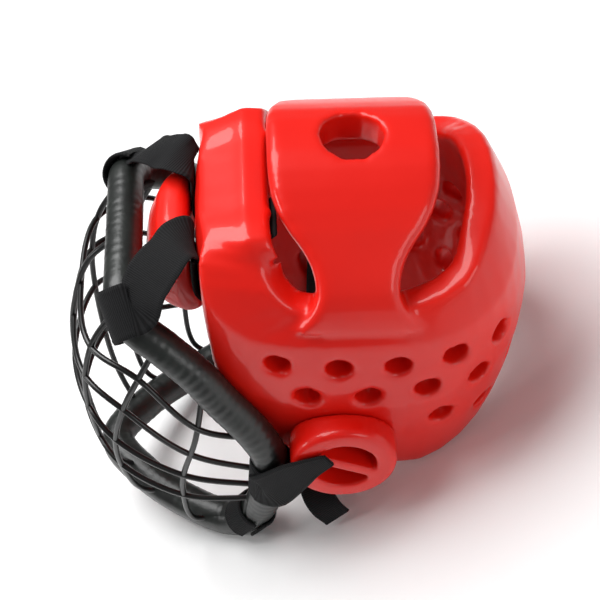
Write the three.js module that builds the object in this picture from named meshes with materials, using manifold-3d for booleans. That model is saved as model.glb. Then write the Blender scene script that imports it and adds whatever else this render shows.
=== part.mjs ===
// Sparring headgear with a face shield: a dipped-foam head guard, its brow and ear pads, a welded wire
// face cage with a padded rim, and the straps that tie the cage and the chin.
// Millimetres. The guard is worked out in its own frame, where the front faces -Y, the wearer's left is
// +X and the ridge of the wrap lies at height 0. The whole is then tipped back onto its chin bar.
import * as THREE from "three";
import { mergeVertices } from "three/addons/utils/BufferGeometryUtils.js";
import Module from "manifold-3d";

const wasm = await Module();
wasm.setup();

// Driving dimensions
const halfWidth = 98; // widest outer side of the wrap
const halfLength = 80; // ridge of the wrap, front and rear
const wallDepth = 200; // ridge down to the lowest edge under the ear
const foam = 21; // wall of the wrap
const gap = 0.3; // between pieces that touch

const crownRise = 30; // top of the crown strip above the ridge
const crownSetback = -10; // middle of the strip, front to back
const crownHalfWidth = 52;
const crownFoam = 22;
const crownHole = 40; // diameter

const ventDiameter = 17;
const ventPitch = 38; // along the wall
const ventRowDrop = 34; // from row to row
const firstRowDrop = 83;

const browReach = 141; // front face of the brow pad
const browHalfWidth = 43;
const browTop = -30;
const browBottom = -84;

const earDiameter = 69;
const earFace = 115; // outer face of the ear pad
const earSetback = -18;
const earDrop = 156;
const earBar = 8; // bar between the two ear vents
const earVentDiameter = 42;
const earTilt = 25; // how far the bar leans, in degrees

const cageHalfWidth = 100;
const cageReach = 197; // front of the wire dome
const cageDepth = 275; // chin bar below the ridge
const rimPad = 24; // diameter of the padded rim
const rimWire = 6; // diameter of the wire inside it
const wire = 4; // diameter of the grille wire

const strapThick = 2.4;
const topStrapWidth = 34;
const topStrapSide = 33; // where a top strap goes round the forehead band
const topLoopRow = 2.6; // rim row where it goes round the brow bar
const jawStrapWidth = 38;
const jawRow = 9.2; // rim row where the jaw strap goes round
const jawLoopWidth = 24;
const jawLoopRow = 11.3;
const chinStrapWidth = 22;
const buckleLength = 16;
const buckleThick = 9;
const buckleRim = 3; // bar of the buckle beside the strap

const restPitch = 29.75; // how far the guard tips back when it lies on its chin bar

// Colours and finishes
const redVinyl = new THREE.MeshStandardMaterial({ color: 0xd8201a, roughness: 0.18 });
const blackVinyl = new THREE.MeshStandardMaterial({ color: 0x1d201f, roughness: 0.4 });
const blackWebbing = new THREE.MeshStandardMaterial({ color: 0x1a1a1b, roughness: 0.85 });
const blackWire = new THREE.MeshStandardMaterial({ color: 0x101111, roughness: 0.3, metalness: 0.4 });

const vec = (x, y, z) => new THREE.Vector3(x, y, z);
const turns = (degrees) => THREE.MathUtils.degToRad(degrees);

// Solids from geometries, and back
function solid(geometry) {
  const bare = geometry.clone();
  for (const name of ["normal", "uv"]) bare.deleteAttribute(name);
  const merged = mergeVertices(bare, 1e-4);
  const mesh = new wasm.Mesh({
    numProp: 3,
    vertProperties: new Float32Array(merged.attributes.position.array),
    triVerts: new Uint32Array(merged.index.array),
  });
  return new wasm.Manifold(mesh);
}

function geometryOf(manifold) {
  const { vertProperties, triVerts } = manifold.getMesh();
  const geometry = new THREE.BufferGeometry();
  geometry.setAttribute("position", new THREE.BufferAttribute(new Float32Array(vertProperties), 3));
  geometry.setIndex(new THREE.BufferAttribute(new Uint32Array(triVerts), 1));
  geometry.computeVertexNormals();
  return geometry;
}

// A body lofted through rings of points, either closed on itself or capped with a fan at each end
function loft(rings, closed = false) {
  const sides = rings[0].length;
  const points = rings.flat();
  const faces = [];
  const last = closed ? rings.length : rings.length - 1;
  for (let i = 0; i < last; i++) {
    const here = i * sides;
    const next = ((i + 1) % rings.length) * sides;
    for (let j = 0; j < sides; j++) {
      const k = (j + 1) % sides;
      faces.push(here + j, here + k, next + j, next + j, here + k, next + k);
    }
  }
  if (!closed) {
    for (const [ring, flip] of [[0, true], [rings.length - 1, false]]) {
      const middle = rings[ring].reduce((sum, p) => sum.add(p), vec(0, 0, 0)).divideScalar(sides);
      const hub = points.push(middle) - 1;
      for (let j = 0; j < sides; j++) {
        const a = ring * sides + j;
        const b = ring * sides + (j + 1) % sides;
        faces.push(hub, ...(flip ? [b, a] : [a, b]));
      }
    }
  }
  const geometry = new THREE.BufferGeometry().setFromPoints(points);
  geometry.setIndex(faces);
  const made = solid(geometry);
  if (made.volume() > 0) return made;
  for (let i = 0; i < faces.length; i += 3) faces.push(...faces.splice(0, 3).reverse());
  geometry.setIndex(faces);
  return solid(geometry);
}

// A curve through a half's points, carried on through their mirror image
function mirroredLoop(half) {
  const other = half.slice(1, -1).reverse().map((p) => vec(-p.x, p.y, p.z));
  return new THREE.CatmullRomCurve3([...half, ...other], true, "centripetal");
}

// The wrap. Each row is a section from the front centre round the wearer's left to the rear centre, with
// four points down its outer face: side as a share of halfWidth, reach of halfLength, drop of wallDepth.
//   ridge                  shoulder               middle                 lowest
const wrapRows = [
  [0, -1, 0, 0, -1.3, 0.06, 0, -1.35, 0.19, 0, -1.32, 0.31],
  [0.31, -1, 0, 0.29, -1.3, 0.055, 0.31, -1.35, 0.19, 0.31, -1.32, 0.31],
  [0.6, -0.99, 0, 0.47, -1.27, 0.045, 0.55, -1.32, 0.19, 0.57, -1.3, 0.33],
  [0.68, -0.9, 0.065, 0.63, -1.32, 0.08, 0.71, -1.3, 0.225, 0.73, -1.27, 0.4],
  [0.79, -0.8, 0.12, 0.78, -1.23, 0.2, 0.8, -1.21, 0.425, 0.76, -1.2, 0.7],
  [0.86, -0.62, 0.18, 0.9, -0.95, 0.29, 0.9, -0.95, 0.55, 0.74, -1.05, 0.93],
  [0.88, -0.25, 0.19, 0.98, -0.38, 0.29, 0.99, -0.4, 0.59, 0.82, -0.53, 1],
  [0.88, 0.1, 0.19, 0.99, 0.1, 0.29, 0.99, 0.12, 0.59, 0.82, 0.1, 1.02],
  [0.86, 0.35, 0.18, 0.96, 0.42, 0.29, 0.96, 0.45, 0.575, 0.82, 0.45, 1.02],
  [0.76, 0.71, 0.125, 0.86, 0.78, 0.26, 0.86, 0.83, 0.54, 0.73, 0.79, 0.945],
  [0.57, 0.86, 0.065, 0.67, 1.02, 0.22, 0.66, 1.11, 0.49, 0.58, 1.04, 0.82],
  [0.33, 0.96, 0.015, 0.37, 1.15, 0.19, 0.37, 1.26, 0.45, 0.33, 1.2, 0.7],
  [0, 1, 0, 0, 1.19, 0.18, 0, 1.34, 0.44, 0, 1.25, 0.64],
];
const wrapRails = [0, 1, 2, 3].map((rail) => mirroredLoop(wrapRows.map((row) => {
  const [side, reach, drop] = row.slice(rail * 3);
  return vec(side * halfWidth, reach * halfLength, -drop * wallDepth);
})));
const wrapRounds = 2 * (wrapRows.length - 1);

// The four outer points of the section at a row number, and the level direction into the guard
function wrapOuter(row) {
  const share = ((row / wrapRounds) % 1 + 1) % 1;
  const points = wrapRails.map((rail) => rail.getPoint(share));
  const along = wrapRails[2].getTangent(share);
  return { points, inward: vec(-along.y, along.x, 0).normalize() };
}

// A place on the wall: down is 0 at the shoulder and 1 at the lowest edge, depth is measured inwards
function wrapPlace(row, down, depth) {
  const { points, inward } = wrapOuter(row);
  const face = new THREE.CatmullRomCurve3(points.slice(1), false, "centripetal").getPoint(down);
  return face.addScaledVector(inward, depth);
}

function wrapSection(row, grow) {
  const { points, inward } = wrapOuter(row);
  const [ridge, shoulder, middle, lowest] = points.map((p) => p.clone().addScaledVector(inward, -grow));
  const face = new THREE.CatmullRomCurve3([shoulder, middle, lowest], false, "centripetal");
  const wall = foam + 2 * grow;
  const into = (p, share, lift) => p.clone().addScaledVector(inward, share * wall).add(vec(0, 0, lift));
  const round = foam / 4;
  return [
    into(ridge, 0.12, grow),
    into(ridge, 0, -0.1 * foam),
    shoulder,
    face.getPoint(0.25),
    middle,
    face.getPoint(0.75),
    into(lowest, 0, round),
    into(lowest, 0.2, -grow),
    into(lowest, 0.75, -grow),
    into(lowest, 0.95, round),
    into(face.getPoint(0.75), 1, 0),
    into(middle, 1, 0),
    into(ridge.clone().lerp(middle, 0.5), 1, 0),
    into(ridge, 0.95, -0.2 * foam),
    into(ridge, 0.8, grow),
  ];
}

function wrapSolid(grow = 0) {
  const steps = 2 * wrapRounds;
  const rings = [];
  for (let i = 0; i < steps; i++) rings.push(wrapSection((i / steps) * wrapRounds, grow));
  return loft(rings, true);
}

// The crown strip: an arch from side to side. Rows run from the top down into the wrap: side as a share
// of halfWidth, drop below the top of halfWidth, and half width as a share of crownHalfWidth.
const crownRows = [
  [0, 0, 1.0],
  [0.2, 0.02, 1.0],
  [0.38, 0.1, 0.97],
  [0.55, 0.215, 0.85],
  [0.68, 0.34, 0.62],
  [0.78, 0.44, 0.5],
  [0.87, 0.54, 0.48],
  [0.93, 0.66, 0.56],
  [0.96, 0.8, 0.74],
];

function crownSolid() {
  const half = crownRows.map(([side, drop]) => vec(side * halfWidth, 0, crownRise - drop * halfWidth));
  const widths = crownRows.map(([, , width], i) => vec(i, width * crownHalfWidth, 0));
  const mirrored = (points) => points.slice(1).reverse().map((p) => vec(-p.x, p.y, p.z));
  const arch = new THREE.CatmullRomCurve3([...mirrored(half), ...half]);
  const spread = new THREE.CatmullRomCurve3([...mirrored(widths), ...widths]);
  const steps = 24;
  const rings = [];
  for (let i = 0; i <= steps; i++) {
    const along = arch.getTangent(i / steps);
    const out = vec(-along.z, 0, along.x);
    const middle = arch.getPoint(i / steps);
    const across = spread.getPoint(i / steps).y;
    const round = crownFoam / 6;
    const outline = [
      [-across, -round], [-across + round, 0], [0, 0], [across - round, 0], [across, -round],
      [across, round - crownFoam], [across - round, -crownFoam], [0, -crownFoam],
      [round - across, -crownFoam], [-across, round - crownFoam],
    ];
    rings.push(outline.map(([side, height]) => middle.clone()
      .addScaledVector(out, height)
      .add(vec(0, crownSetback + side, 0))));
  }
  return loft(rings);
}

// A round or D-shaped punch along a line
function punch(shape, from, to) {
  const line = new THREE.LineCurve3(from, to);
  return solid(new THREE.ExtrudeGeometry(shape, { steps: 1, extrudePath: line, curveSegments: 5 }));
}

function disc(diameter) {
  return new THREE.Shape().absarc(0, 0, diameter / 2, 0, 2 * Math.PI);
}

// Vent holes, in three rows that step down the wall, each half a pitch on from the row above.
// first and last count pitches from the middle of the ear side, towards the rear.
const ventRows = [
  { first: -1.2, last: 2.8 },
  { first: -0.7, last: 3.3 },
  { first: 1.6, last: 2.6 },
];

function ventPunches() {
  const punches = [];
  const reach = 1.5 * foam;
  ventRows.forEach(({ first, last }, index) => {
    const drop = firstRowDrop + index * ventRowDrop;
    for (let count = first; count <= last + 0.01; count += 1) {
      const row = rowAt(count * ventPitch);
      const { points, inward } = wrapOuter(row);
      const share = THREE.MathUtils.clamp((drop + points[1].z) / (points[1].z - points[3].z), 0.1, 0.9);
      for (const side of [1, -1]) {
        const middle = wrapPlace(row, share, foam / 2);
        const tilt = inward.clone().multiplyScalar(reach);
        const ends = [middle.clone().sub(tilt), middle.clone().add(tilt)];
        ends.forEach((p) => { p.x *= side; });
        punches.push(punch(disc(ventDiameter), ...ends));
      }
    }
  });
  return punches;
}

// The row number that lies a length along the wall from the middle of the ear side, rear positive
function rowAt(length) {
  const start = 6.4;
  const stride = 0.02;
  let row = start;
  let left = Math.abs(length);
  let here = wrapPlace(row, 0.4, 0);
  while (left > 0) {
    row += stride * Math.sign(length);
    const next = wrapPlace(row, 0.4, 0);
    left -= next.distanceTo(here);
    here = next;
  }
  return row;
}

// Ear pads: round pucks seated on the wall, with two vents that run through the pad and the wall
function earVentPunches(side) {
  const radius = earVentDiameter / 2;
  const flat = Math.acos(earBar / 2 / radius);
  return [0, Math.PI].map((turn) => {
    const shape = new THREE.Shape();
    shape.absarc(0, 0, radius, turn - flat, turn + flat);
    shape.closePath();
    const depth = earFace - halfWidth + 3.5 * foam;
    const vent = new THREE.ExtrudeGeometry(shape, { depth, bevelEnabled: false, curveSegments: 8 })
      .rotateZ(turns(90 - earTilt))
      .rotateY(Math.PI / 2)
      .rotateX(Math.PI / 2)
      .translate(halfWidth - 2.5 * foam, earSetback, -earDrop);
    return solid(vent).transform(new THREE.Matrix4().makeScale(side, 1, 1).elements);
  });
}

function earPuck(side, grow) {
  const radius = earDiameter / 2 + grow;
  const face = earFace + grow;
  const round = 4;
  const inner = halfWidth - foam;
  const profile = [
    [0, inner], [radius, inner], [radius, face - round], [radius - round / 3, face - round / 3],
    [radius - round, face], [0, face],
  ].map(([r, x]) => new THREE.Vector2(r, x));
  const puck = new THREE.LatheGeometry(profile, 40);
  puck.rotateZ(-side * Math.PI / 2);
  puck.translate(0, earSetback, -earDrop);
  return solid(puck);
}

function earPad(side, fatWrap) {
  let made = earPuck(side, 0).subtract(fatWrap);
  for (const vent of earVentPunches(side)) made = made.subtract(vent);
  return largest(made);
}

function largest(manifold) {
  return manifold.decompose().sort((a, b) => b.volume() - a.volume())[0];
}

// The brow pad: a thick roll in front of the forehead band. Rows go down its front and back up behind,
// reach as a share of browReach and height as a share of the way from browTop to browBottom.
const browProfile = [
  [0.8, 0.06],
  [0.83, 0.0],
  [0.9, 0.02],
  [0.935, 0.1],
  [0.985, 0.42],
  [1.0, 0.66],
  [0.98, 0.92],
  [0.93, 1.0],
  [0.84, 0.98],
  [0.79, 0.88],
  [0.79, 0.4],
];

function browPad() {
  const steps = 16;
  const rings = [];
  for (let i = 0; i <= steps; i++) {
    const across = (2 * i) / steps - 1;
    const sweep = Math.abs(across) ** 3;
    const shrink = 1 - 0.45 * Math.abs(across) ** 6;
    const middle = (browTop + browBottom) / 2;
    rings.push(browProfile.map(([reach, down]) => vec(
      across * browHalfWidth,
      -browReach * (0.79 + (reach - 0.79) * shrink) + 0.06 * sweep * browReach,
      middle + (THREE.MathUtils.lerp(browTop, browBottom, down) - middle) * (0.85 + 0.15 * shrink),
    )));
  }
  return loft(rings);
}

// The cage. The rim runs from the middle of the brow bar round the wearer's left to the middle of the
// chin bar: side as a share of cageHalfWidth, reach of cageReach, drop of cageDepth.
const rimRows = [
  [0, 0.782, 0.189],
  [0.32, 0.782, 0.189],
  [0.52, 0.78, 0.193],
  [0.67, 0.751, 0.229],
  [0.78, 0.655, 0.276],
  [0.85, 0.563, 0.338],
  [0.91, 0.482, 0.415],
  [0.97, 0.391, 0.498],
  [1, 0.34, 0.571],
  [0.99, 0.33, 0.647],
  [0.95, 0.345, 0.753],
  [0.87, 0.386, 0.876],
  [0.78, 0.467, 0.964],
  [0.58, 0.629, 0.989],
  [0.32, 0.787, 0.989],
  [0, 0.893, 0.985],
];
const rimCurve = mirroredLoop(rimRows.map(cagePoint));

function cagePoint([side, reach, drop]) {
  return vec(side * cageHalfWidth, -reach * cageReach, -drop * cageDepth);
}

// Upright wires: the rim row where each starts and ends, and the places between in the same columns
const uprightWires = [
  { from: 0, to: 15, through: [[0, 0.904, 0.273], [0, 0.98, 0.436], [0, 1, 0.582], [0, 0.985, 0.764],
    [0, 0.949, 0.927]] },
  { from: 2.2, to: 14.2, through: [[0.57, 0.888, 0.327], [0.56, 0.934, 0.465], [0.51, 0.934, 0.647],
    [0.4, 0.893, 0.855]] },
  { from: 3.8, to: 13.4, through: [[0.8, 0.751, 0.378], [0.79, 0.802, 0.473], [0.73, 0.853, 0.647],
    [0.64, 0.838, 0.818], [0.53, 0.787, 0.953]] },
  { from: 5.3, to: 12.3, through: [[0.95, 0.574, 0.531], [0.91, 0.624, 0.691], [0.87, 0.635, 0.782],
    [0.79, 0.604, 0.953]] },
];

// Level wires, from the middle of the dome round to the rim row by the ear where each ends
const levelWires = [
  { to: 7.4, through: [[0, 0.945, 0.36], [0.57, 0.9, 0.35], [0.8, 0.75, 0.37], [0.955, 0.565, 0.495]] },
  { to: 9.1, through: [[0, 0.985, 0.475], [0.555, 0.935, 0.46], [0.785, 0.81, 0.49], [0.94, 0.6, 0.6]] },
  { to: 9.8, through: [[0, 1, 0.6], [0.53, 0.94, 0.59], [0.74, 0.85, 0.63], [0.91, 0.63, 0.7]] },
  { to: 10.4, through: [[0, 0.985, 0.75], [0.46, 0.925, 0.745], [0.67, 0.845, 0.77], [0.865, 0.63, 0.81]] },
];

// A round rod along a curve
function rod(curve, diameter, steps, sides) {
  const shape = new THREE.Shape();
  for (let i = 0; i < sides; i++) {
    const angle = (2 * Math.PI * i) / sides;
    const point = [Math.cos(angle) * diameter / 2, Math.sin(angle) * diameter / 2];
    if (i) shape.lineTo(...point);
    else shape.moveTo(...point);
  }
  return solid(new THREE.ExtrudeGeometry(shape, { steps, extrudePath: curve, curveSegments: 1 }));
}

// A closed ring of round section along a closed curve, with its frame kept level
function ringRod(curve, diameter, steps, sides) {
  const rings = [];
  for (let i = 0; i < steps; i++) {
    const along = curve.getTangent(i / steps);
    const across = vec(0, 0.4, 1).cross(along).normalize();
    const up = along.clone().cross(across).normalize();
    const middle = curve.getPoint(i / steps);
    const ring = [];
    for (let j = 0; j < sides; j++) {
      const angle = (2 * Math.PI * j) / sides;
      ring.push(middle.clone()
        .addScaledVector(across, Math.cos(angle) * diameter / 2)
        .addScaledVector(up, Math.sin(angle) * diameter / 2));
    }
    rings.push(ring);
  }
  return loft(rings, true);
}

// A place on the rim by its row number, counted from the brow bar down the wearer's left
function rimPlace(row) {
  return rimCurve.getPoint(row / (2 * (rimRows.length - 1)));
}

function rimAlong(row) {
  return rimCurve.getTangent(row / (2 * (rimRows.length - 1)));
}

const mirror = (p) => vec(-p.x, p.y, p.z);

function grilleWires(diameter) {
  const wires = [];
  for (const { from, to, through } of uprightWires) {
    const points = [rimPlace(from), ...through.map(cagePoint), rimPlace(to)];
    for (const half of from ? [points, points.map(mirror)] : [points]) {
      wires.push(rod(new THREE.CatmullRomCurve3(half), diameter, 8, 5));
    }
  }
  for (const { to, through } of levelWires) {
    const half = [...through.map(cagePoint), rimPlace(to)];
    const points = [...half.slice(1).reverse().map(mirror), ...half];
    wires.push(rod(new THREE.CatmullRomCurve3(points), diameter, 16, 5));
  }
  return wires;
}

function cageWires() {
  return grilleWires(wire).reduce((all, one) => all.add(one), ringRod(rimCurve, rimWire, 60, 5));
}

const rimRoll = (clear) => ringRod(rimCurve, rimPad + 2 * clear, 60, 8);

// The padding is a full roll with a channel for the rim wire and a slot where each grille wire leaves
function rimPadding(fatWires) {
  const roll = rimRoll(0).subtract(ringRod(rimCurve, rimWire + 2 * gap, 60, 5));
  return fatWires.reduce((left, one) => left.subtract(one), roll);
}

// A flat band through the points of a path. Its width turns from one direction to another between two
// of its points, which is the whole way unless they are given, and starts with the given shares of it.
function band(points, width, thick, acrossStart, acrossEnd, turn = [0, points.length - 1], tip = []) {
  const last = points.length - 1;
  return loft(points.map((point, i) => {
    const along = points[Math.min(i + 1, last)].clone().sub(points[Math.max(i - 1, 0)]).normalize();
    const share = THREE.MathUtils.clamp((i - turn[0]) / (turn[1] - turn[0]), 0, 1);
    const across = acrossStart.clone().lerp(acrossEnd, share);
    across.addScaledVector(along, -across.dot(along)).normalize();
    const face = across.clone().cross(along);
    const half = width / 2 * (tip[i] ?? 1);
    return [[-1, -1], [1, -1], [1, 1], [-1, 1]].map(([a, f]) => point.clone()
      .addScaledVector(across, a * half)
      .addScaledVector(face, f * thick / 2));
  }));
}

// Points round the padded rim at a row number, between two angles. Angle 0 points to the rear at the
// brow bar and outwards at the jaw, given by the direction away.
function roundRim(row, away, start, end, count) {
  const middle = rimPlace(row);
  const along = rimAlong(row);
  const out = away.clone().addScaledVector(along, -away.dot(along)).normalize();
  const up = along.clone().cross(out);
  const step = turns((end - start) / (count - 1));
  const reach = (rimPad / 2 + gap + strapThick / 2) / Math.cos(step / 2);
  return Array.from({ length: count }, (_, i) => {
    const angle = turns(THREE.MathUtils.lerp(start, end, i / (count - 1)));
    return middle.clone()
      .addScaledVector(out, Math.cos(angle) * reach)
      .addScaledVector(up, Math.sin(angle) * reach);
  });
}

// A top strap goes up inside the forehead band, under its lower edge, up between band and brow pad, over
// the pad and round the brow bar. Rows: reach as a share of halfLength and drop of wallDepth.
const topStrapRows = [
  [-0.73, 0.03],
  [-0.9, 0.106],
  [-1.055, 0.19],
  [-1.05, 0.285],
  [-1.12, 0.327],
  [-1.28, 0.329],
  [-1.355, 0.295],
  [-1.371, 0.25],
  [-1.371, 0.17],
  [-1.371, 0.09],
];

function topStrap(clear) {
  const inside = topStrapRows.map(([reach, drop]) => {
    return vec(topStrapSide, reach * halfLength, -drop * wallDepth);
  });
  const over = [[0.82, 1.6], [0.9, 1.1], [0.97, -2.2]].map(([reach, lift]) => vec(
    THREE.MathUtils.lerp(topStrapSide, rimPlace(topLoopRow).x, (reach - 0.8) * 5),
    -reach * browReach,
    browTop + lift * strapThick,
  ));
  const loop = roundRim(topLoopRow, vec(0, 1, 0), 65, 320, 10);
  const points = [...inside, ...over, ...loop];
  const turn = [inside.length, inside.length + over.length];
  return band(points, topStrapWidth + 2 * clear, strapThick + 2 * clear, vec(1, 0, 0),
    rimAlong(topLoopRow), turn);
}

// A jaw strap lies on the ear pad's face and goes forward and once round the rim
function jawStrap() {
  const face = earFace + 2 * gap + strapThick / 2;
  const onPad = [
    vec(face, earSetback - 0.15 * earDiameter, -earDrop + 0.16 * earDiameter),
    vec(face, earSetback - 0.42 * earDiameter, -earDrop - 0.02 * earDiameter),
  ];
  const loop = roundRim(jawRow, vec(1, 0, 0), 20, 300, 10);
  const end = rimAlong(jawRow).negate();
  const turn = [0, onPad.length];
  return band([...onPad, ...loop], jawStrapWidth, strapThick, vec(0, 0, 1), end, turn, [0.3, 0.6]);
}

// A short wrap of the same strap lower on the rim, which keeps the jaw strap from sliding down
function jawLoop() {
  const along = rimAlong(jawLoopRow).negate();
  return band(roundRim(jawLoopRow, vec(1, 0, 0), 0, 330, 12), jawLoopWidth, strapThick, along, along);
}

// The chin strap: down inside the wall from ear to ear under the chin, with a free end past its buckle.
// Rows from the wearer's left to the middle: side of halfWidth, reach of halfLength, drop of wallDepth.
const chinRows = [
  [0.7, -0.28, 0.72],
  [0.655, -0.29, 0.84],
  [0.585, -0.31, 0.98],
  [0.5, -0.38, 1.09],
  [0.28, -0.55, 1.18],
  [0, -0.65, 1.2],
];
const chinTailRows = [
  [0.5, -0.38, 1.085],
  [0.64, -0.42, 1.09],
  [0.8, -0.45, 1.075],
  [0.96, -0.42, 1.085],
  [1.04, -0.35, 1.11],
  [1.07, -0.26, 1.145],
];
const headPoint = ([side, reach, drop]) => vec(side * halfWidth, reach * halfLength, -drop * wallDepth);

function chinStrap(clear) {
  const half = chinRows.map(headPoint);
  const points = [...half, ...half.slice(0, -1).reverse().map(mirror)];
  return band(points, chinStrapWidth + 2 * clear, strapThick + 2 * clear, vec(0, 1, 0), vec(0, 1, 0));
}

// The buckle is one block that the strap runs through, with a slot at its outer edge for the free end
function chinBuckle() {
  const [upper, lower] = [chinRows[2], chinRows[3]].map(headPoint);
  const along = lower.clone().sub(upper).normalize();
  const middle = upper.clone().lerp(lower, 0.7);
  const block = new THREE.BoxGeometry(buckleThick, chinStrapWidth + 2 * buckleRim, buckleLength);
  block.applyQuaternion(new THREE.Quaternion().setFromUnitVectors(vec(0, 0, -1), along));
  block.translate(middle.x, middle.y, middle.z);
  return solid(block);
}

function chinTail(clear) {
  const points = chinTailRows.map(headPoint);
  return band(points, chinStrapWidth + 2 * clear, strapThick + 2 * clear, vec(0, 1, 0), vec(0, 0.8, 0.6));
}

const guard = new THREE.Group();

function piece(name, manifold, material) {
  const mesh = new THREE.Mesh(geometryOf(manifold), material);
  mesh.name = name;
  guard.add(mesh);
}

let shell = wrapSolid().add(crownSolid());
const crownTop = vec(0, crownSetback, crownRise);
shell = shell.subtract(punch(disc(crownHole), crownTop.clone().setZ(crownRise - 2 * crownFoam),
  crownTop.clone().setZ(crownRise + crownFoam)));
for (const vent of ventPunches()) shell = shell.subtract(vent);
for (const side of [1, -1]) for (const vent of earVentPunches(side)) shell = shell.subtract(vent);
const fatRoll = rimRoll(gap);
piece("shell", largest(shell.subtract(fatRoll)), redVinyl);

const fatWrap = wrapSolid(gap);
const mirrorAcross = new THREE.Matrix4().makeScale(-1, 1, 1).elements;
const fatTopStrap = topStrap(gap);
const browSeat = [fatWrap, fatTopStrap, fatTopStrap.transform(mirrorAcross), fatRoll];
piece("brow_pad", largest(browSeat.reduce((rest, one) => rest.subtract(one), browPad())), redVinyl);

for (const [name, side] of [["ear_pad_left", 1], ["ear_pad_right", -1]]) {
  piece(name, earPad(side, fatWrap), redVinyl);
}

const fatWires = grilleWires(wire + 2 * gap);
piece("cage_wires", cageWires(), blackWire);
piece("rim_padding", rimPadding(fatWires), blackVinyl);

function strapPair(name, strap, material) {
  for (const [end, one] of [["_left", strap], ["_right", strap.transform(mirrorAcross)]]) {
    const clear = [fatWrap, fatRoll, ...fatWires].reduce((rest, solid) => rest.subtract(solid), one);
    piece(name + end, largest(clear), material);
  }
}
strapPair("top_strap", topStrap(0), blackWebbing);
strapPair("jaw_strap", jawStrap().subtract(earPuck(1, gap)), blackWebbing);
strapPair("jaw_loop", jawLoop(), blackWebbing);

const buckleGrip = chinStrap(gap).add(chinTail(gap));
piece("chin_strap", chinStrap(0).add(chinTail(0)), blackWebbing);
piece("chin_buckle", largest(chinBuckle().subtract(buckleGrip)), blackVinyl);

guard.rotation.x = turns(-restPitch);
const root = new THREE.Group();
root.add(guard);
root.updateMatrixWorld(true);
const box = new THREE.Box3().setFromObject(root, true);
guard.position.set(0, -(box.min.y + box.max.y) / 2, -box.min.z);

export default root;
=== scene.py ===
import math

import bpy
import numpy as np
from mathutils import Matrix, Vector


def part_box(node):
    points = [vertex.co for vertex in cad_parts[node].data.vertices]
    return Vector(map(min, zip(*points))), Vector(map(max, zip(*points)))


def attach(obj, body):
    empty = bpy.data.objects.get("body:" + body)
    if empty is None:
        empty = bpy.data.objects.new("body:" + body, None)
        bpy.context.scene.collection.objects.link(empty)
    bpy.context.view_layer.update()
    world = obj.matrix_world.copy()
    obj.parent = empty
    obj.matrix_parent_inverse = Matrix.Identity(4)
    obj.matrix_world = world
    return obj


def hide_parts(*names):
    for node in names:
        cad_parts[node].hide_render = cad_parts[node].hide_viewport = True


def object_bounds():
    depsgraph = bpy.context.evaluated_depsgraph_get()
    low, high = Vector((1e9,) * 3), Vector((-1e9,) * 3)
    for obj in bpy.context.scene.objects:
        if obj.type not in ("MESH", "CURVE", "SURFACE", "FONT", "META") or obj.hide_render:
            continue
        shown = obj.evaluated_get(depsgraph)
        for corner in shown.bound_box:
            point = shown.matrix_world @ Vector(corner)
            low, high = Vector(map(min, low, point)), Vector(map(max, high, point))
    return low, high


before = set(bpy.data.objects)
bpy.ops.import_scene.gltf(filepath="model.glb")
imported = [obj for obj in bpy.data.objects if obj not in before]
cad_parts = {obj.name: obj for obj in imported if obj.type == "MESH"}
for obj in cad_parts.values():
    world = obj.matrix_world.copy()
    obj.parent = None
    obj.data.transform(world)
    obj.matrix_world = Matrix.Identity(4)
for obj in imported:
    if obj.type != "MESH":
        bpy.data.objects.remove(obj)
cad_corners = [list(corner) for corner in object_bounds()]


# The head guard: one wall of foam about 20 mm thick, made of the wrap round the head and the strip
# over the crown. It is dipped whole in red vinyl, which rounds every edge and vent and dries glossy.
shell_cell = 0.002
shell_passes = 11
red_deep = (0.7, 0.006, 0.002, 1)
red_lit = (0.8, 0.011, 0.004, 1)


def dipped(name, node, cell, passes):
    """The node's solid as an even skin of square cells, each point of which is then moved half way
    to the mean of its neighbours, once for each pass."""
    piece = bpy.data.objects.new(name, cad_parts[node].data.copy())
    bpy.context.scene.collection.objects.link(piece)
    piece.modifiers.new("joined", "WELD").merge_threshold = 0.00001
    even = piece.modifiers.new("even", "REMESH")
    even.mode = "VOXEL"
    even.voxel_size = cell
    soft = piece.modifiers.new("soft", "SMOOTH")
    soft.factor = 0.5
    soft.iterations = passes
    shaped = piece.evaluated_get(bpy.context.evaluated_depsgraph_get())
    skin = bpy.data.meshes.new_from_object(shaped)
    piece.modifiers.clear()
    piece.data = skin
    skin.shade_smooth()
    return piece


def principled(name, roughness):
    """A new material with its main shader's roughness set."""
    look = bpy.data.materials.new(name)
    look.use_nodes = True
    shader = look.node_tree.nodes["Principled BSDF"]
    shader.inputs["Roughness"].default_value = roughness
    return look, look.node_tree, shader


def noise(tree, scale, detail):
    """Cloudy noise on the piece's own coordinates, with that many clouds to the metre."""
    place = tree.nodes.new("ShaderNodeTexCoord")
    cloud = tree.nodes.new("ShaderNodeTexNoise")
    cloud.inputs["Scale"].default_value = scale
    cloud.inputs["Detail"].default_value = detail
    tree.links.new(place.outputs["Object"], cloud.inputs["Vector"])
    return cloud.outputs["Fac"]


def bumped(tree, shader, height, strength, depth):
    """The shader's normal tilted by a height pattern of that depth in metres."""
    bump = tree.nodes.new("ShaderNodeBump")
    bump.inputs["Strength"].default_value = strength
    bump.inputs["Distance"].default_value = depth
    tree.links.new(height, bump.inputs["Height"])
    tree.links.new(bump.outputs["Normal"], shader.inputs["Normal"])


def mixed_colour(tree, shader, share, low, high):
    """The shader's colour run from one colour to another by a share from 0 to 1."""
    ramp = tree.nodes.new("ShaderNodeValToRGB")
    ramp.color_ramp.elements[0].position = 0.35
    ramp.color_ramp.elements[0].color = low
    ramp.color_ramp.elements[1].position = 0.65
    ramp.color_ramp.elements[1].color = high
    tree.links.new(share, ramp.inputs["Fac"])
    tree.links.new(ramp.outputs["Color"], shader.inputs["Base Color"])


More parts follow.
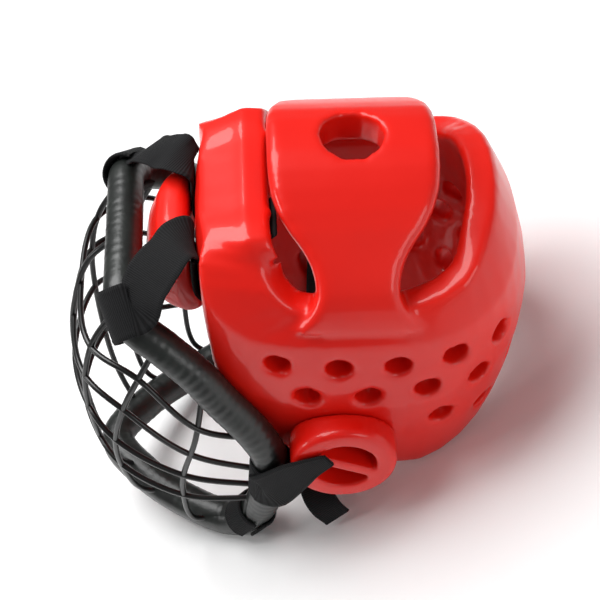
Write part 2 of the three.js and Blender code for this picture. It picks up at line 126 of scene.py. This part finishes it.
def dipped_red():
    """Glossy red vinyl that dried a little uneven over the foam."""
    look, tree, shader = principled("dipped_red", 0.4)
    shader.inputs["Specular IOR Level"].default_value = 0.25
    shader.inputs["Coat Weight"].default_value = 0.42
    shader.inputs["Coat Roughness"].default_value = 0.06
    mixed_colour(tree, shader, noise(tree, 9, 2), red_deep, red_lit)
    bumped(tree, shader, noise(tree, 45, 2), 0.12, 0.002)
    return look


red = dipped_red()


def foam_piece(name, node, cell, passes):
    """A dipped piece that stands for its node, with its material and the body it rides."""
    piece = dipped(name, node, cell, passes)
    piece.data.materials.clear()
    piece.data.materials.append(red)
    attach(piece, "root")
    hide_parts(node)


foam_piece("guard_shell", "shell", shell_cell, shell_passes)


# The brow pad: a thick roll of the same dipped foam, glued to the front of the forehead band. It takes
# the blows that come past the top of the cage, and the two top straps run over it.
brow_cell = 0.0016
brow_passes = 16
foam_piece("brow_roll", "brow_pad", brow_cell, brow_passes)


# The ear pads: two round pucks of dipped foam over the ears, each with a pair of D-shaped vents that
# run through the wall so that the wearer can hear.
ear_cell = 0.0013
ear_passes = 14
for side in ("left", "right"):
    foam_piece(f"ear_puck_{side}", f"ear_pad_{side}", ear_cell, ear_passes)


# The face cage: steel wires welded where they cross and to a heavier rim wire, then dipped in a glossy
# black coating. Upright wires run from the brow bar to the chin bar, level wires from ear to ear.
cage_side = 0.100
cage_reach = 0.197
cage_depth = 0.275
wire_thick = 0.004
rim_wire_thick = 0.006
wire_sides = 10
upright_count = 60
level_count = 110
rim_count = 240
rest_pitch = math.radians(29.75)

# The rim from the brow bar down the wearer's left to the chin bar: side, reach and depth as shares
rim_rows = np.array([
    (0, 0.782, 0.189),
    (0.32, 0.782, 0.189),
    (0.52, 0.78, 0.193),
    (0.67, 0.751, 0.229),
    (0.78, 0.655, 0.276),
    (0.85, 0.563, 0.338),
    (0.91, 0.482, 0.415),
    (0.97, 0.391, 0.498),
    (1, 0.34, 0.571),
    (0.99, 0.33, 0.647),
    (0.95, 0.345, 0.753),
    (0.87, 0.386, 0.876),
    (0.78, 0.467, 0.964),
    (0.58, 0.629, 0.989),
    (0.32, 0.787, 0.989),
    (0, 0.893, 0.985),
])

# Each upright wire: the rim rows where it starts and ends, and its places between
upright_wires = [
    (0, 15, [(0, 0.904, 0.273), (0, 0.98, 0.436), (0, 1, 0.582), (0, 0.985, 0.764), (0, 0.949, 0.927)]),
    (2.2, 14.2, [(0.57, 0.888, 0.327), (0.56, 0.934, 0.465), (0.51, 0.934, 0.647), (0.4, 0.893, 0.855)]),
    (3.8, 13.4, [(0.8, 0.751, 0.378), (0.79, 0.802, 0.473), (0.73, 0.853, 0.647), (0.64, 0.838, 0.818),
                 (0.53, 0.787, 0.953)]),
    (5.3, 12.3, [(0.95, 0.574, 0.531), (0.91, 0.624, 0.691), (0.87, 0.635, 0.782), (0.79, 0.604, 0.953)]),
]

# Each level wire: the rim row by the ear where it ends, and its places from the middle round to there
level_wires = [
    (7.4, [(0, 0.945, 0.36), (0.57, 0.9, 0.35), (0.8, 0.75, 0.37), (0.955, 0.565, 0.495)]),
    (9.1, [(0, 0.985, 0.475), (0.555, 0.935, 0.46), (0.785, 0.81, 0.49), (0.94, 0.6, 0.6)]),
    (9.8, [(0, 1, 0.6), (0.53, 0.94, 0.59), (0.74, 0.85, 0.63), (0.91, 0.63, 0.7)]),
    (10.4, [(0, 0.985, 0.75), (0.46, 0.925, 0.745), (0.67, 0.845, 0.77), (0.865, 0.63, 0.81)]),
]


def smooth_line(points, places, closed=False):
    """The smooth curve through the points, read at places counted in points. Each stretch is a cubic
    whose end slopes come from the points on both sides, spaced by the square root of their distance."""
    points = np.asarray(points, float)
    if closed:
        ring = np.vstack([points[-1:], points, points[:2]])
    else:
        ring = np.vstack([2 * points[0] - points[1], points, 2 * points[-1] - points[-2]])
    stretches = len(ring) - 3
    at = np.mod(places, stretches) if closed else np.clip(places, 0, stretches)
    index = np.minimum(np.floor(at).astype(int), stretches - 1)
    share = (at - index)[:, None]
    before, here, there, after = (ring[index + i] for i in range(4))

    def spacing(a, b):
        """The square root of the distance between each pair of points."""
        return np.maximum(np.linalg.norm(b - a, axis=1, keepdims=True), 1e-9) ** 0.5

    first, middle, last = spacing(before, here), spacing(here, there), spacing(there, after)
    leave = (here - before) / first - (there - before) / (first + middle) + (there - here) / middle
    arrive = (there - here) / middle - (after - here) / (middle + last) + (after - there) / last
    leave, arrive = leave * middle, arrive * middle
    return (here + leave * share + (3 * (there - here) - 2 * leave - arrive) * share ** 2
            + (2 * (here - there) + leave + arrive) * share ** 3)


def slopes(line, closed=False):
    """The unit direction along a line at each of its points."""
    if closed:
        along = np.roll(line, -1, 0) - np.roll(line, 1, 0)
    else:
        along = np.gradient(line, axis=0)
    return along / np.linalg.norm(along, axis=1, keepdims=True)


def square_to(along, wish):
    """The wished directions with their part along the line taken off, as unit directions."""
    across = wish - np.sum(wish * along, 1, keepdims=True) * along
    return across / np.linalg.norm(across, axis=1, keepdims=True)


def swept(line, section, wish, closed=False):
    """A grid of points: at each point of the line, the section's two columns measured across the line
    towards the wished direction, and square to both. The section is one for all, or one for each."""
    along = slopes(line, closed)
    across = square_to(along, np.broadcast_to(wish, line.shape))
    face = np.cross(across, along)
    section = np.broadcast_to(section, (len(line),) + section.shape[-2:])
    return line[:, None] + section[..., :1] * across[:, None] + section[..., 1:] * face[:, None]


def grid_faces(rows, columns, closed, start):
    """The four-sided faces of a tube of points, and one many-sided cap at each end if it is open."""
    last = rows if closed else rows - 1
    row, column = np.meshgrid(np.arange(last), np.arange(columns), indexing="ij")
    beyond = (row + 1) % rows
    beside = (column + 1) % columns
    quads = np.stack([row * columns + column, row * columns + beside,
                      beyond * columns + beside, beyond * columns + column], -1).reshape(-1, 4)
    faces = (quads + start).tolist()
    if not closed:
        faces.append((np.arange(columns)[::-1] + start).tolist())
        faces.append((np.arange(columns) + (rows - 1) * columns + start).tolist())
    return faces


def tubes(name, grids, closed=False):
    """One mesh of several tubes of points, smooth along their sides, with faces turned outwards."""
    faces = []
    start = 0
    for grid in grids:
        faces += grid_faces(grid.shape[0], grid.shape[1], closed, start)
        start += grid.shape[0] * grid.shape[1]
    mesh = bpy.data.meshes.new(name)
    mesh.from_pydata(np.vstack([grid.reshape(-1, 3) for grid in grids]).tolist(), [], faces)
    outwards(mesh)
    mesh.shade_smooth()
    piece = bpy.data.objects.new(name, mesh)
    bpy.context.scene.collection.objects.link(piece)
    return piece


def outwards(mesh):
    """Turns a closed mesh's faces outwards: its volume by the sum over faces is made positive."""
    mesh.calc_loop_triangles()
    corners = np.empty(len(mesh.loop_triangles) * 3, int)
    mesh.loop_triangles.foreach_get("vertices", corners)
    places = np.empty(len(mesh.vertices) * 3)
    mesh.vertices.foreach_get("co", places)
    a, b, c = places.reshape(-1, 3)[corners.reshape(-1, 3)].transpose(1, 0, 2)
    if np.sum(a * np.cross(b, c)) < 0:
        mesh.flip_normals()


def circle(radius, sides):
    """A round section of that many sides."""
    angle = np.linspace(0, 2 * np.pi, sides, endpoint=False)
    return radius * np.stack([np.cos(angle), np.sin(angle)], 1)


def cage_place(rows):
    """Shares of side, reach and depth as places in the guard's own frame, with its front at -Y."""
    return np.asarray(rows, float) * (cage_side, -cage_reach, -cage_depth)


mirror_side = np.array((-1, 1, 1))
rim_half = cage_place(rim_rows)
rim_points = np.vstack([rim_half, rim_half[-2:0:-1] * mirror_side])


def rim_line(rows):
    """The rim's middle line at row numbers counted from the brow bar down the wearer's left."""
    return smooth_line(rim_points, np.asarray(rows, float), closed=True)


def wire_lines():
    """The middle lines of all grille wires, left and right."""
    lines = []
    for start, end, through in upright_wires:
        points = np.vstack([rim_line([start]), cage_place(through), rim_line([end])])
        line = smooth_line(points, np.linspace(0, len(points) - 1, upright_count))
        lines += [line] if start == 0 else [line, line * mirror_side]
    for end, through in level_wires:
        half = np.vstack([cage_place(through), rim_line([end])])
        points = np.vstack([half[:0:-1] * mirror_side, half])
        lines.append(smooth_line(points, np.linspace(0, len(points) - 1, level_count)))
    return lines


wire_section = circle(wire_thick / 2, wire_sides)
wire_grids = [swept(line, wire_section, (0.3, 0.2, 1)) for line in wire_lines()]
rim_rounds = np.linspace(0, len(rim_points), rim_count, endpoint=False)
rim_section = circle(rim_wire_thick / 2, wire_sides)
rim_grid = swept(rim_line(rim_rounds), rim_section, (0, 0.4, 1), closed=True)


def tipped(points):
    """Places in the guard's own frame turned about X by the pitch at which the guard lies."""
    turn = np.array(Matrix.Rotation(-rest_pitch, 3, "X"))
    return np.asarray(points, float) @ turn.T


wires_own = tipped(np.vstack([grid.reshape(-1, 3) for grid in wire_grids + [rim_grid]]))
wires_cad = np.array([list(corner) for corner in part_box("cage_wires")])
rest_offset = wires_cad.mean(0) - (wires_own.min(0) + wires_own.max(0)) / 2


def at_rest(points):
    """Places in the guard's own frame as they lie in the row frame."""
    return tipped(points) + rest_offset


def finished(piece, look):
    """Gives a piece its material and says what it rides."""
    piece.data.materials.append(look)
    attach(piece, "root")


def dressed(piece, look, node):
    """Finishes a piece and lets it stand for its node."""
    finished(piece, look)
    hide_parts(node)


def coated_black():
    """A thick glossy black coating, a little uneven where it ran."""
    look, tree, shader = principled("coated_wire", 0.3)
    shader.inputs["Base Color"].default_value = (0.004, 0.004, 0.004, 1)
    shader.inputs["Coat Weight"].default_value = 0.1
    bumped(tree, shader, noise(tree, 220, 1), 0.15, 0.0005)
    return look


rim_ring = tubes("rim_ring", [at_rest(rim_grid)], closed=True)
cage = tubes("face_cage", [at_rest(grid) for grid in wire_grids])
black_wire = coated_black()
dressed(cage, black_wire, "cage_wires")
finished(rim_ring, black_wire)


# The rim padding: a roll of foam sewn into black vinyl round the rim wire, which keeps the wire off the
# face. The vinyl creases across the roll at the bends, and a sewn edge runs along its rear side.
roll_thick = 0.024
roll_sides = 48
roll_count = 900
seam_angle = 2.5
seam_groove = 0.0012
seam_lip = 0.0006
crease_depth = 0.00011
crease_waves = 9
crease_counts = (30, 160)


def creased_roll(rows, sides):
    """The roll round the rim line. Its radius is the plain one, less a fine groove at the seam's angle,
    plus a low lip on each side of the groove and a sum of waves along the roll whose phases differ and
    swing with the angle round it."""
    line = rim_line(rows)
    length = np.concatenate([[0], np.cumsum(np.linalg.norm(np.diff(line, axis=0), axis=1))])[:, None]
    total = length[-1, 0] + np.linalg.norm(line[0] - line[-1])
    angle = np.linspace(0, 2 * np.pi, sides, endpoint=False)[None]
    chance = np.random.default_rng(4)
    radius = np.full((len(line), sides), roll_thick / 2 - crease_depth)
    for _ in range(crease_waves):
        count = chance.integers(*crease_counts)
        swing, phase, lean = chance.uniform(0.5, 2), chance.uniform(0, 6.3), chance.uniform(0, 6.3)
        wave = np.sin(2 * np.pi * count * length / total + phase + swing * np.cos(angle + lean))
        radius += crease_depth * 0.36 * wave * (0.5 + 0.5 * np.cos(angle - lean))
    offset = np.angle(np.exp(1j * (angle - seam_angle)))
    radius -= seam_groove * np.exp(-(offset / 0.06) ** 2)
    radius += seam_lip * np.exp(-((np.abs(offset) - 0.16) / 0.08) ** 2)
    section = radius[..., None] * np.stack([np.cos(angle), np.sin(angle)], -1)
    return swept(line, section, (0, 0.4, 1), closed=True)


def black_cover():
    """Fine-grained black vinyl with a grey-green sheen."""
    look, tree, shader = principled("black_cover", 0.36)
    shader.inputs["Specular IOR Level"].default_value = 0.6
    mixed_colour(tree, shader, noise(tree, 60, 3), (0.005, 0.006, 0.0055, 1), (0.012, 0.015, 0.013, 1))
    bumped(tree, shader, noise(tree, 260, 5), 0.35, 0.0006)
    return look


vinyl = black_cover()
roll_rows = np.linspace(0, len(rim_points), roll_count, endpoint=False)
roll = tubes("rim_roll", [at_rest(creased_roll(roll_rows, roll_sides))], closed=True)
dressed(roll, vinyl, "rim_padding")


# The top straps: black webbing that goes down inside the forehead band, under its lower edge, up between
# band and brow pad, over the pad and round the rim's upper corner, where it is sewn back on itself.
band_thick = 0.0024
band_sides = 44
top_width = 0.034
top_side = 0.033
top_loop_row = 2.6
top_loop_turn = (65, 330)
top_count = 260
loop_count = 14
brow_top = -0.030
brow_reach = 0.141
head_half_width = 0.098
head_half_length = 0.080
head_depth = 0.200
strap_clear = 0.0004

# Down inside the band and up again before it: reach of the half length and drop of the wall's depth
top_rows = [
    (-0.73, 0.03), (-0.9, 0.106), (-1.055, 0.19), (-1.05, 0.285), (-1.12, 0.327), (-1.28, 0.329),
    (-1.355, 0.295), (-1.371, 0.25), (-1.373, 0.17), (-1.376, 0.128),
]


def band_section(width, thick, sides):
    """A flat section with rounded edges: both columns are powers of the cosine and sine below one. The
    thickness grows by a narrow hump on each side where the selvedge runs."""
    angle = np.linspace(0, 2 * np.pi, sides, endpoint=False)
    wide = np.sign(np.cos(angle)) * np.abs(np.cos(angle)) ** 0.45
    high = np.sign(np.sin(angle)) * np.abs(np.sin(angle)) ** 0.5
    selvedge = 1 + 0.3 * np.exp(-((np.abs(wide) - 0.86) / 0.06) ** 2)
    return np.stack([width / 2 * wide, thick / 2 * high * selvedge], 1)


def webbing_band(name, points, width, start, end, count=160, taper=None, turn=None):
    """A band along the smooth line through the points, its width turned from one direction to another
    between two of them, the whole way unless they are given, and scaled by the taper along it. Its map
    runs along and round the band, in metres."""
    points = np.asarray(points, float)
    at = np.linspace(0, len(points) - 1, count)
    line = smooth_line(points, at)
    share = np.linspace(0, 1, count)[:, None]
    first, last = turn if turn else (0, len(points) - 1)
    turned = np.clip((at[:, None] - first) / (last - first), 0, 1)
    wish = (1 - turned) * np.asarray(start, float) + turned * np.asarray(end, float)
    section = np.broadcast_to(band_section(width, band_thick, band_sides), (count, band_sides, 2)).copy()
    if taper is not None:
        section[..., 0] *= taper(share)
    grid = swept(line, section, wish)
    piece = tubes(name, [at_rest(grid)])
    walk = np.concatenate([[0], np.cumsum(np.linalg.norm(np.diff(line, axis=0), axis=1))])
    along = np.repeat(walk, band_sides)
    across = section[..., 0].reshape(-1)
    corners = np.empty(len(piece.data.loops), int)
    piece.data.loops.foreach_get("vertex_index", corners)
    layer = piece.data.uv_layers.new(name="UVMap")
    layer.uv.foreach_set("vector", np.stack([along[corners], across[corners]], 1).ravel())
    return piece


def round_the_rim(row, away, turn, count):
    """Points round the roll at a rim row, between the turn's two angles in degrees from the direction
    away, and the rim's direction there."""
    line = rim_line([row - 0.05, row, row + 0.05])
    along = slopes(line)[1]
    out = square_to(along[None], np.asarray(away, float)[None])[0]
    up = np.cross(along, out)
    angle = np.radians(np.linspace(*turn, count))[:, None]
    reach = roll_thick / 2 + strap_clear + band_thick / 2
    return line[1] + reach * (np.cos(angle) * out + np.sin(angle) * up), along


def webbing():
    """Matte black webbing: ribs across the band from its map, with finer threads between them."""
    look, tree, shader = principled("black_webbing", 0.8)
    shader.inputs["Specular IOR Level"].default_value = 0.2
    shader.inputs["Sheen Weight"].default_value = 0.02
    shader.inputs["Sheen Roughness"].default_value = 0.5
    place = tree.nodes.new("ShaderNodeTexCoord")
    ribs = tree.nodes.new("ShaderNodeTexWave")
    ribs.bands_direction = "X"
    ribs.inputs["Scale"].default_value = 260
    ribs.inputs["Distortion"].default_value = 0.6
    tree.links.new(place.outputs["UV"], ribs.inputs["Vector"])
    mixed_colour(tree, shader, ribs.outputs["Fac"], (0.004, 0.004, 0.0045, 1), (0.012, 0.012, 0.013, 1))
    bumped(tree, shader, ribs.outputs["Fac"], 0.5, 0.0005)
    return look


cloth = webbing()
loop_side = rim_line([top_loop_row])[0, 0]

# Over the brow pad: reach of the pad's own reach and lift in thicknesses of the band
pad_start = 0.8
over_pad = [(0.84, 3.4), (0.9, 1.9), (0.97, -1.6)]


def top_strap_points():
    """The top strap's places on the wearer's left, from inside the guard to the end of its loop, and the
    rim's direction there."""
    inside = [(top_side, reach * head_half_length, -drop * head_depth) for reach, drop in top_rows]
    over = [(top_side + (loop_side - top_side) * (reach - pad_start) / (1 - pad_start),
             -reach * brow_reach, brow_top + lift * band_thick) for reach, lift in over_pad]
    loop, along = round_the_rim(top_loop_row, (0, 1, 0), top_loop_turn, loop_count)
    return np.vstack([inside, over, loop]), along


for side, flip in (("left", 1), ("right", -1)):
    points, along = top_strap_points()
    mirrored = np.array((flip, 1, 1))
    strap = webbing_band(f"top_webbing_{side}", points * mirrored, top_width, (flip, 0, 0),
                         along * mirrored, count=top_count,
                         turn=(len(top_rows), len(top_rows) + len(over_pad)))
    dressed(strap, cloth, f"top_strap_{side}")


# The jaw straps: webbing that holds the rim to the guard by the ears. Each is sewn down to a point on the
# ear pad's face, goes forward and once round the rim. A second wrap below it keeps it from sliding.
jaw_width = 0.038
jaw_loop_width = 0.024
jaw_row = 9.2
jaw_loop_row = 11.3
jaw_strap_turn = (20, 300)
jaw_loop_turn = (0, 330)
jaw_loop_count = 16
ear_face = 0.115
ear_setback = -0.018
ear_drop = 0.156
ear_across = 0.069

# On the ear pad's face: forward of its middle and above it, as shares of its width
jaw_tip_rows = [(0.15, 0.16), (0.42, -0.02)]


def jaw_strap_points():
    """The jaw strap's places on the wearer's left, from the ear pad's face to the end of its loop."""
    face = ear_face + 2 * strap_clear + band_thick / 2
    on_pad = [(face, ear_setback - forward * ear_across, -ear_drop + above * ear_across)
              for forward, above in jaw_tip_rows]
    loop, along = round_the_rim(jaw_row, (1, 0, 0), jaw_strap_turn, loop_count)
    return np.vstack([on_pad, loop]), -along


def pointed(share):
    """Width along the jaw strap: narrow at its sewn tip and full before it reaches the rim."""
    return 0.3 + 0.7 * np.clip(share / 0.13, 0, 1) ** 0.9


for side, flip in (("left", 1), ("right", -1)):
    points, along = jaw_strap_points()
    mirrored = np.array((flip, 1, 1))
    strap = webbing_band(f"jaw_webbing_{side}", points * mirrored, jaw_width, (0, 0, 1),
                         along * mirrored, taper=pointed, turn=(0, len(jaw_tip_rows)))
    dressed(strap, cloth, f"jaw_strap_{side}")
    wrap, along = round_the_rim(jaw_loop_row, (1, 0, 0), jaw_loop_turn, jaw_loop_count)
    loop = webbing_band(f"jaw_wrap_{side}", wrap * mirrored, jaw_loop_width, -along * mirrored,
                        -along * mirrored)
    dressed(loop, cloth, f"jaw_loop_{side}")


# The chin strap: webbing from inside one ear under the chin to the other, with a free end that comes
# back out past the buckle on the wearer's left.
chin_width = 0.022

# From the wearer's left to the middle: side of the half width, reach of the half length, drop of depth
chin_rows = np.array([
    (0.7, -0.28, 0.72), (0.655, -0.29, 0.84), (0.585, -0.31, 0.98), (0.5, -0.38, 1.09),
    (0.28, -0.55, 1.18), (0, -0.65, 1.2),
])
tail_rows = np.array([
    (0.5, -0.38, 1.085), (0.64, -0.42, 1.09), (0.8, -0.45, 1.075), (0.96, -0.42, 1.085),
    (1.04, -0.35, 1.11), (1.07, -0.26, 1.145),
])
head_scale = np.array((head_half_width, head_half_length, -head_depth))
chin_half = chin_rows * head_scale
chin_whole = np.vstack([chin_half, chin_half[-2::-1] * mirror_side])
chin = webbing_band("chin_webbing", chin_whole, chin_width, (0, 1, 0), (0, 1, 0))
dressed(chin, cloth, "chin_strap")
tail = webbing_band("chin_tail", tail_rows * head_scale, chin_width, (0, 1, 0), (0, 0.8, 0.6))
finished(tail, cloth)


# The chin buckle: a small moulded slider of black plastic that the strap's free end runs back through.
# Its edges are rounded as moulded ones are.
def moulded_black():
    """Satin black plastic."""
    look, tree, shader = principled("moulded_black", 0.4)
    shader.inputs["Base Color"].default_value = (0.018, 0.018, 0.019, 1)
    bumped(tree, shader, noise(tree, 700, 2), 0.1, 0.0003)
    return look


buckle_cell = 0.0006
buckle_passes = 4
buckle = dipped("chin_slider", "chin_buckle", buckle_cell, buckle_passes)
buckle.data.materials.clear()
dressed(buckle, moulded_black(), "chin_buckle")


# The floor and the light: a pale sweep, a broad soft lamp overhead and one at each side, and the camera
# at the photograph's angle, which looks down on the guard's left side.
def plain_floor():
    """A pale matte floor."""
    look, _, shader = principled("pale_floor", 0.9)
    shader.inputs["Base Color"].default_value = (0.93, 0.93, 0.93, 1)
    return look


floor_half = 6
floor_mesh = bpy.data.meshes.new("floor")
floor_mesh.from_pydata([(-floor_half, -floor_half, 0), (floor_half, -floor_half, 0),
                        (floor_half, floor_half, 0), (-floor_half, floor_half, 0)], [], [(0, 1, 2, 3)])
floor_mesh.materials.append(plain_floor())
floor = bpy.data.objects.new("floor", floor_mesh)
bpy.context.scene.collection.objects.link(floor)


def soft_lamp(name, place, aim, size, power):
    """A square area lamp at a place, turned to an aim."""
    lamp = bpy.data.lights.new(name, "AREA")
    lamp.size = size
    lamp.energy = power
    holder = bpy.data.objects.new(name, lamp)
    away = np.asarray(place, float) - np.asarray(aim, float)
    away /= np.linalg.norm(away)
    side = np.cross((0, 0.1, 1), away)
    side /= np.linalg.norm(side)
    turn = np.stack([side, np.cross(away, side), away], 1)
    holder.matrix_world = placed(turn, place)
    bpy.context.scene.collection.objects.link(holder)


def placed(turn, place):
    """The 4 by 4 matrix of a turn's three columns and a place."""
    whole = np.eye(4)
    whole[:3, :3] = turn
    whole[:3, 3] = place
    return Matrix(whole.tolist())


middle = np.array(cad_corners).mean(0)
soft_lamp("overhead", (-0.3, -0.1, 1.4), middle, 1.1, 26)
soft_lamp("front_side", (0.2, -1.3, 1.0), middle, 0.4, 4)
soft_lamp("rear_side", (1.0, 1.1, 0.5), middle, 0.6, 4)

studio = bpy.data.worlds.new("studio")
studio.use_nodes = True
studio.node_tree.nodes["Background"].inputs["Color"].default_value = (1, 1, 1, 1)
studio.node_tree.nodes["Background"].inputs["Strength"].default_value = 0.2
bpy.context.scene.world = studio
bpy.context.scene.view_settings.view_transform = "Standard"

camera_azimuth = math.radians(87.517)
camera_height = math.radians(49.0)
camera_distance = 1.0
camera_aim = (0.06748, -0.04477, -0.04563)
film_width = 36
focal_share = 1639.3 / 600

flat = np.array((math.sin(camera_azimuth), -math.cos(camera_azimuth), 0))
toward = math.cos(camera_height) * flat + math.sin(camera_height) * np.array((0, 0, 1))
right = np.cross((0, 0, 1), toward)
right /= np.linalg.norm(right)
camera_turn = tipped(np.stack([right, np.cross(toward, right), toward])).T
camera_place = at_rest([np.array(camera_aim) + camera_distance * toward])[0]
lens = bpy.data.cameras.new("photo_camera")
lens.sensor_width = film_width
lens.lens = film_width * focal_share
camera = bpy.data.objects.new("photo_camera", lens)
camera.matrix_world = placed(camera_turn, camera_place)
bpy.context.scene.collection.objects.link(camera)
bpy.context.scene.camera = camera
